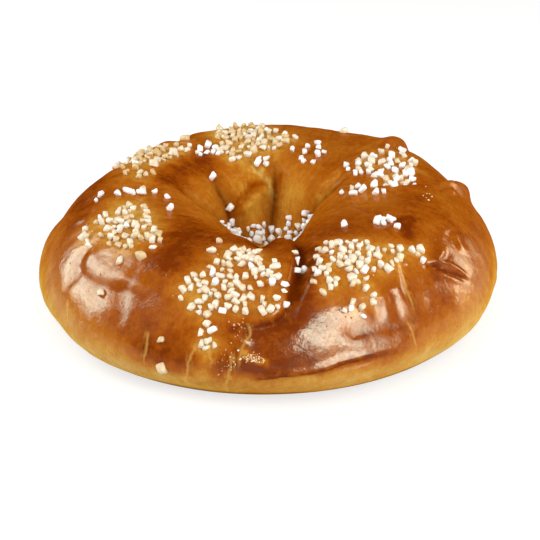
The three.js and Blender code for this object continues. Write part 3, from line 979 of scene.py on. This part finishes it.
@dataclass
class DoughCrust:
    """The baked dough, from the dimple's floor to the flat underside.

    The pale and brown heights, below and above which the flank is pale and brown, are given in front and
    elsewhere.
    """

    form: RingForm
    grains: list[Grain]
    finish: EggWashFinish = EggWashFinish()
    columns: int = 480
    rows: int = 196
    underside_rows: int = 4
    pole_gap: float = 1e-4
    front_azimuth: float = 272
    front_narrowness: float = 3
    height_unevenness: float = 4
    height_patch: float = 34
    pale_heights: Span = (17, 11)
    brown_heights: Span = (27, 55)
    base_browning: float = 0.13
    front_browning: float = 0.24
    flank_browning: float = 0.62
    flank_ease: float = 0.75
    front_flank_less: float = 0.1
    patch_browning: float = 0.08
    patch_length: float = 40
    pull_browning: float = 0.06
    wall_paleness: float = 0.18
    wall_reach: float = 0.2
    wall_spread: float = 0.1
    wall_azimuth: float = 95
    wall_evenness: float = 0.65
    gold_paleness: float = 0.5
    gold_spread: float = 9.5
    gold_grains: int = 3
    least_white: float = 0.5
    wash_heights: Span = (4, 13)
    wash_reaches: Span = (0.22, 0.36)
    stroke_matt: float = 2
    ragged_length: float = 4
    ragged_width: float = 3
    drip_reach: float = 2.6
    # Painted contact shadow: a dark band along the bottom few millimetres, which also reads as a browner
    # baked edge.
    contact_shadow_and_scorch_heights: Span = (3.5, 8.5)
    contact_shadow_and_scorch_share: float = 0.9
    crease_shade: float = 0.85
    crease_matt: float = 1.6
    underside_browning: float = 0.5

    def build(self) -> bpy.types.Object:
        """Spins the section, then moves every vertex to the finished crust.

        Returns:
            The crust's object.
        """
        bm = bmesh.new()
        reach_layer = bm.verts.layers.float.new("reach")
        chain = []
        for row in range(self.rows + 1):
            reach = row / self.rows
            radius, height = self.form.along(reach, self.form.line)
            chain.append(bm.verts.new((radius, 0, height)))
            chain[-1][reach_layer] = reach
        for row in range(1, self.underside_rows + 1):
            radius = self.form.section.base_radius * (1 - row / self.underside_rows)
            chain.append(bm.verts.new((radius, 0, 0)))
            chain[-1][reach_layer] = 1 + row
        edges = [bm.edges.new(pair) for pair in zip(chain, chain[1:])]
        bmesh.ops.spin(
            bm, geom=[*chain, *edges], axis=(0, 0, 1), angle=math.tau, steps=self.columns, use_merge=True
        )
        bmesh.ops.remove_doubles(bm, verts=bm.verts, dist=self.pole_gap)
        bmesh.ops.recalc_face_normals(bm, faces=bm.faces)
        piece = object_from(bm, "brioche_crust")
        self.shape(piece.data)
        return piece

    def shape(self, mesh: bpy.types.Mesh) -> None:
        """Moves the spun vertices to the finished crust, and stores what the finish reads.

        Args:
            mesh: The spun mesh, in millimetres.
        """
        flat = np.zeros(len(mesh.vertices) * 3)
        mesh.vertices.foreach_get("co", flat)
        places = flat.reshape(-1, 3)
        reach = np.zeros(len(places))
        mesh.attributes["reach"].data.foreach_get("value", reach)
        azimuth = np.arctan2(places[:, 1], places[:, 0])
        top = reach <= 1
        crease = np.zeros(len(places))
        places[top], _, crease[top] = self.form.crust(azimuth[top], reach[top])
        # Paints the contact shadow along the bottom edge into the crease shade, also as a darker baked edge.
        contact_shadow_and_scorch = 1 - smooth(*self.contact_shadow_and_scorch_heights, places[:, 2])
        crease = np.maximum(crease, self.contact_shadow_and_scorch_share * contact_shadow_and_scorch)
        mesh.vertices.foreach_set("co", (places * MM).ravel())
        mesh.update()
        mesh.attributes.remove(mesh.attributes["reach"])
        baked = self.baking(azimuth, reach)
        baked["wash"] *= 1 - np.clip(self.crease_matt * np.sqrt(crease), 0, 1)
        # The crease attribute is painted shade: darker deep in the creases and along the bottom edge.
        for name, values in {**baked, "crease": self.crease_shade * crease}.items():
            layer = mesh.attributes.new(name, "FLOAT", "POINT")
            layer.data.foreach_set("value", values.astype(np.float32))
        pulled = mesh.attributes.new("pull", "FLOAT_VECTOR", "POINT")
        pulled.data.foreach_set("vector", self.form.pull(azimuth, reach).astype(np.float32).ravel())

    def sugar_nearness(self, points: np.ndarray) -> np.ndarray:
        """Tells how near points lie to several grains that were baked on.

        Args:
            points: Points of the bare crust.

        Returns:
            The nearness of each, from 0 to 1.
        """
        baked = [grain.point for grain in self.grains if grain.whiteness < self.least_white]
        tree = kdtree.KDTree(len(baked))
        for index, point in enumerate(baked):
            tree.insert(point, index)
        tree.balance()
        distance = np.array([tree.find_n(Vector(point), self.gold_grains)[-1][2] for point in points])
        return np.exp(-((distance / self.gold_spread) ** 2))

    def baking(self, azimuth: np.ndarray, reach: np.ndarray) -> dict[str, np.ndarray]:
        """Works out what the oven and the egg wash did at each vertex, with painted shade and a painted
        highlight among the strokes.

        Args:
            azimuth: Angles in radians.
            reach: Places along the section, above 1 on the underside.

        Returns:
            The browning, the cover of egg wash and the strength of a drip, each from 0 to 1, and the distance
            to the left of that drip.
        """
        points, normals = self.form.bare(azimuth, reach)
        height = points[:, 2] + self.height_unevenness * unevenness(points, self.height_patch, octaves=3)
        browning = self.browning(points, height, azimuth, reach)
        wash = smooth(*self.wash_heights, height) * smooth(*self.wash_reaches, reach)
        ragged = unevenness(points, self.ragged_length, octaves=3)
        # The strokes hold tone of the crust, painted shade by creases, folds and the petal, and one painted
        # highlight.
        for streak in STREAKS:
            near, across, strength = self.form.across(streak.course, streak.width, points, normals)
            strayed = across + ragged[near] * min(1, self.ragged_width / streak.width)
            stroke = streak.shade * strength * np.exp(-(strayed**2))
            browning[near] += stroke
            wash[near] -= np.clip(self.stroke_matt * stroke, 0, None)
        side, drip = np.zeros(len(points)), np.zeros(len(points))
        for course in DRIPS:
            near, across, strength = self.form.across(course, self.drip_reach, points, normals)
            within = np.abs(across) < 1
            side[near[within]] = self.drip_reach * across[within]
            drip[near[within]] = (strength * (1 - across**2))[within]
        under = reach > 1
        browning[under] = self.underside_browning
        wash[under] = 0
        held = {"browning": np.clip(browning, 0, 1), "wash": np.clip(wash, 0, 1)}
        return {**held, "drip_side": side, "drip": drip}

    def browning(
        self, points: np.ndarray, height: np.ndarray, azimuth: np.ndarray, reach: np.ndarray
    ) -> np.ndarray:
        """Browns the crust by height and side, paler on the dimple's wall and golden by the sugar.

        Args:
            points: Points of the bare crust.
            height: Their heights, made uneven.
            azimuth: Their angles in radians.
            reach: Their places along the section.

        Returns:
            The browning of each, before any strokes.
        """
        front = np.clip(np.cos(azimuth - math.radians(self.front_azimuth)), 0, 1) ** self.front_narrowness
        spans = (self.pale_heights, self.brown_heights)
        pale, brown = (elsewhere + (ahead - elsewhere) * front for ahead, elsewhere in spans)
        flank = smooth(0, 1, (height - pale) / (brown - pale)) ** self.flank_ease
        facing = np.cos(azimuth - math.radians(self.wall_azimuth))
        wall = np.exp(-(((reach - self.wall_reach) / self.wall_spread) ** 2))
        wall *= self.wall_evenness + (1 - self.wall_evenness) * facing
        return (
            self.base_browning
            + self.front_browning * front
            + self.flank_browning * flank * (1 - self.front_flank_less * front)
            + self.patch_browning * unevenness(points, self.patch_length, octaves=3)
            + self.pull_browning * unevenness(self.form.pull(azimuth, reach), 1)
            - self.wall_paleness * wall
            - self.gold_paleness * self.sugar_nearness(points)
        )

    def dress(self, piece: bpy.types.Object) -> None:
        """Gives the crust its finish and its place in the frame."""
        piece.data.materials.append(self.finish.material())
        enlist(piece)


@dataclass
class PearlSugar:
    """All sugar of one kind, whole grains or crumbs, as one joined mesh."""

    name: str
    form: RingForm
    grains: list[Grain]
    finish: SugarFinish = SugarFinish()
    shape: tuple[float, float, float] = (1, 0.8, 0.7)
    stands: float = 0.2
    chips: int = 12
    chip_shuffle: int = 97
    draws_per_chip: int = 100
    draws_per_corner: int = 7
    tumble_draws: tuple[int, int, int] = (2, 3, 4)
    corner_jitter: float = 0.24
    edge_round: float = 0.15

    def chip(self, index: int) -> bpy.types.Mesh:
        """Makes one blocky chip of unit size, with pushed corners and rounded edges.

        Args:
            index: The chip's number, which sets its draws.

        Returns:
            Its mesh.
        """
        bm = bmesh.new()
        bmesh.ops.create_cube(bm, size=1, matrix=Matrix.Diagonal((*self.shape, 1)))
        for corner, vert in enumerate(bm.verts):
            seed = self.draws_per_chip * index + self.draws_per_corner * corner
            push = Vector([draw(seed + axis) - 0.5 for axis in range(3)])
            vert.co += 2 * self.corner_jitter * push
        bmesh.ops.bevel(
            bm, geom=bm.edges, offset=self.edge_round, affect="EDGES", segments=1, profile=0.5, material=-1
        )
        mesh = bpy.data.meshes.new(f"chip_{index}")
        bm.to_mesh(mesh)
        bm.free()
        return mesh

    def build(self) -> bpy.types.Object:
        """Joins the grains, each a turned copy of a chip.

        Returns:
            The sugar's object.
        """
        chips = [self.chip(index) for index in range(self.chips)]
        azimuths, reaches = np.array([(grain.azimuth, grain.reach) for grain in self.grains]).T
        points, normals, _ = self.form.crust(azimuths, reaches)
        bm = bmesh.new()
        whiteness = bm.verts.layers.float.new("whiteness")
        toast = bm.verts.layers.float.new("toast")
        for grain, point, normal in zip(self.grains, points, normals):
            first = len(bm.verts)
            bm.from_mesh(chips[grain.seed % self.chip_shuffle % self.chips])
            bm.verts.ensure_lookup_table()
            fresh = bm.verts[first:]
            turns = [math.tau * draw(grain.seed + step) for step in self.tumble_draws]
            tumble = Euler(turns, "ZYX").to_matrix().to_4x4()
            centre = Matrix.Translation(Vector(point + self.stands * grain.size * normal) * MM)
            bmesh.ops.transform(bm, matrix=centre @ tumble @ Matrix.Scale(grain.size * MM, 4), verts=fresh)
            for vert in fresh:
                vert[whiteness] = grain.whiteness
                vert[toast] = grain.toast
        for mesh in chips:
            bpy.data.meshes.remove(mesh)
        return object_from(bm, self.name)

    def dress(self, piece: bpy.types.Object) -> None:
        """Gives the sugar its finish and its place in the frame."""
        piece.data.materials.append(self.finish.material())
        enlist(piece)


class LampUse(Enum):
    """What a lamp lights, matt dough and sugar or the gloss alone. The value is its colour."""

    SHADING = (1.0, 1.0, 1.0)
    GLOSS = (0.8, 1.0, 0.82)
    WARM_GLOSS = (1.0, 0.9, 0.58)


@dataclass(frozen=True)
class Softbox:
    """A soft lamp that faces the cake, with its size in degrees as the cake sees it, and its brightness."""

    name: str
    use: LampUse
    azimuth: float
    elevation: float
    width: float
    height: float
    radiance: float
    distance_m: float = 1.3

    def build(self, target: Vector) -> None:
        """Hangs the lamp so that it faces a target.

        Args:
            target: The point that it faces.
        """
        lamp = bpy.data.lights.new(self.name, "AREA")
        lamp.shape = "RECTANGLE"
        lamp.color = self.use.value
        lamp.size, lamp.size_y = (
            2 * self.distance_m * math.tan(math.radians(angle) / 2) for angle in (self.width, self.height)
        )
        lamp.energy = self.radiance * math.pi * lamp.size * lamp.size_y
        holder = bpy.data.objects.new(self.name, lamp)
        azimuth, elevation = math.radians(self.azimuth), math.radians(self.elevation)
        flat = math.cos(elevation)
        towards = Vector((flat * math.cos(azimuth), flat * math.sin(azimuth), math.sin(elevation)))
        holder.location = target + self.distance_m * towards
        holder.rotation_euler = towards.to_track_quat("Z", "Y").to_euler()
        holder.visible_camera = False
        holder.visible_diffuse = self.use is LampUse.SHADING
        holder.visible_glossy = not holder.visible_diffuse
        bpy.context.scene.collection.objects.link(holder)


@dataclass
class Studio:
    """Pale floor, soft lamps, and a camera at the photograph's angle."""

    camera_elevation: float = 24.5
    camera_distance_m: float = 1.0
    pixels_per_metre: float = 1645
    picture_pixels: int = 540
    origin_pixel: Span = (266.7, 303.0)
    sensor_mm: float = 36
    floor_side_m: float = 12
    floor_drop_m: float = 0.0004
    floor_colour: Colour = (0.36, 0.36, 0.36)
    floor_roughness: float = 0.9
    floor_shown: float = 0.68
    floor_bounce: float = 0.52
    floor_mirrored: float = 0.32
    mirrored_colour: Colour = (1.0, 0.75, 0.35)
    dark_middle_m: tuple[float, float, float] = (0, -0.55, 0)
    dark_reach_m: Span = (0.38, 0.55)
    fill_light: float = 0.42
    mirror_light: float = 0.01
    lamp_target_m: tuple[float, float, float] = (0, 0, 0.04)
    lamps: tuple[Softbox, ...] = (
        Softbox("left_light", LampUse.SHADING, 190, 30, 42, 42, 3),
        Softbox("front_right_light", LampUse.SHADING, -58, 30, 38, 42, 2.6),
        Softbox("right_light", LampUse.SHADING, -8, 18, 42, 30, 2.8),
        Softbox("top_light", LampUse.SHADING, -90, 76, 44, 44, 1.25),
        Softbox("left_gloss", LampUse.GLOSS, 164, 28.5, 42, 43, 5),
        Softbox("left_core", LampUse.GLOSS, 163, 28, 30, 28, 7),
        Softbox("front_right_gloss", LampUse.WARM_GLOSS, -52, 22, 48, 42, 5),
        Softbox("front_right_core", LampUse.GLOSS, -58, 28, 40, 34, 13),
        Softbox("right_gloss", LampUse.WARM_GLOSS, 19.5, 13.5, 28, 26, 4.5),
        Softbox("right_core", LampUse.WARM_GLOSS, 17, 14, 16, 16, 6),
    )

    def build(self) -> None:
        """Sets up the floor, the light and the camera."""
        self.lay_floor()
        self.light()
        self.aim_camera()
        bpy.context.scene.view_settings.view_transform = "Standard"

    def lay_floor(self) -> None:
        """Lays the pale floor just under the cake."""
        bm = bmesh.new()
        bmesh.ops.create_grid(bm, x_segments=1, y_segments=1, size=self.floor_side_m / 2)
        bmesh.ops.translate(bm, vec=(0, 0, -self.floor_drop_m), verts=bm.verts)
        floor = object_from(bm, "floor")
        bench = NodeBench("pale_floor")
        path = bench.add("ShaderNodeLightPath").outputs
        ends = {0: bench.place, 1: self.dark_middle_m}
        away = bench.add("ShaderNodeVectorMath", ends, operation="DISTANCE")
        mirrored = bench.fit(away.outputs["Value"], self.dark_reach_m, (0, self.floor_mirrored))
        glow = bench.reckon("MULTIPLY", path["Is Camera Ray"], self.floor_shown)
        for kind, level in {"Is Diffuse Ray": self.floor_bounce, "Is Glossy Ray": mirrored}.items():
            glow = bench.reckon("ADD", glow, bench.reckon("MULTIPLY", path[kind], level))
        floor.data.materials.append(bench.finished({
            "Base Color": (*self.floor_colour, 1),
            "Roughness": self.floor_roughness,
            "Emission Color": bench.blend(path["Is Glossy Ray"], (1, 1, 1, 1), (*self.mirrored_colour, 1)),
            "Emission Strength": glow,
        }))

    def light(self) -> None:
        """Hangs the lamps and sets an even fill that glossy surfaces hardly mirror."""
        for lamp in self.lamps:
            lamp.build(Vector(self.lamp_target_m))
        world = bpy.data.worlds.new("studio")
        world.use_nodes = True
        nodes, links = world.node_tree.nodes, world.node_tree.links
        path = nodes.new("ShaderNodeLightPath")
        level = nodes.new("ShaderNodeMapRange")
        level.inputs["To Min"].default_value = self.fill_light
        level.inputs["To Max"].default_value = self.mirror_light
        links.new(path.outputs["Is Glossy Ray"], level.inputs["Value"])
        links.new(level.outputs["Result"], nodes["Background"].inputs["Strength"])
        nodes["Background"].inputs["Color"].default_value = (1, 1, 1, 1)
        bpy.context.scene.world = world

    def aim_camera(self) -> None:
        """Places the camera so that the cake's origin falls on its pixel."""
        elevation = math.radians(self.camera_elevation)
        back = Vector((0, -math.cos(elevation), math.sin(elevation)))
        up = Vector((0, math.sin(elevation), math.cos(elevation)))
        middle = self.picture_pixels / 2
        across, down = self.origin_pixel
        aim = up * ((down - middle) / self.pixels_per_metre)
        aim.x = (middle - across) / self.pixels_per_metre
        lens = bpy.data.cameras.new("camera")
        lens.sensor_width = self.sensor_mm
        lens.lens = self.sensor_mm * self.pixels_per_metre * self.camera_distance_m / self.picture_pixels
        camera = bpy.data.objects.new("camera", lens)
        camera.location = aim + back * self.camera_distance_m
        camera.rotation_euler = back.to_track_quat("Z", "Y").to_euler()
        bpy.context.scene.collection.objects.link(camera)
        bpy.context.scene.camera = camera


def main() -> None:
    """Builds and dresses the cake in its studio."""
    logging.basicConfig(level=logging.INFO, format="%(name)s %(message)s")
    form = RingForm()
    grains = SugarScatter(form).grains()
    crumbs = SugarScatter(form, CRUMBS, (), first_index=100, large=1.3, small=0.5).grains()
    crumb_finish = SugarFinish(
        "sugar_crumbs",
        baked=linear(228, 190, 128),
        toasted=linear(200, 138, 66),
        white=linear(240, 224, 198),
    )
    for part in (
        DoughCrust(form, grains),
        PearlSugar("pearl_sugar", form, grains),
        PearlSugar("sugar_crumbs", form, crumbs, crumb_finish, shape=(1, 0.7, 0.5), stands=0.05),
    ):
        part.dress(part.build())
    Studio().build()


if __name__ == "__main__":
    main()
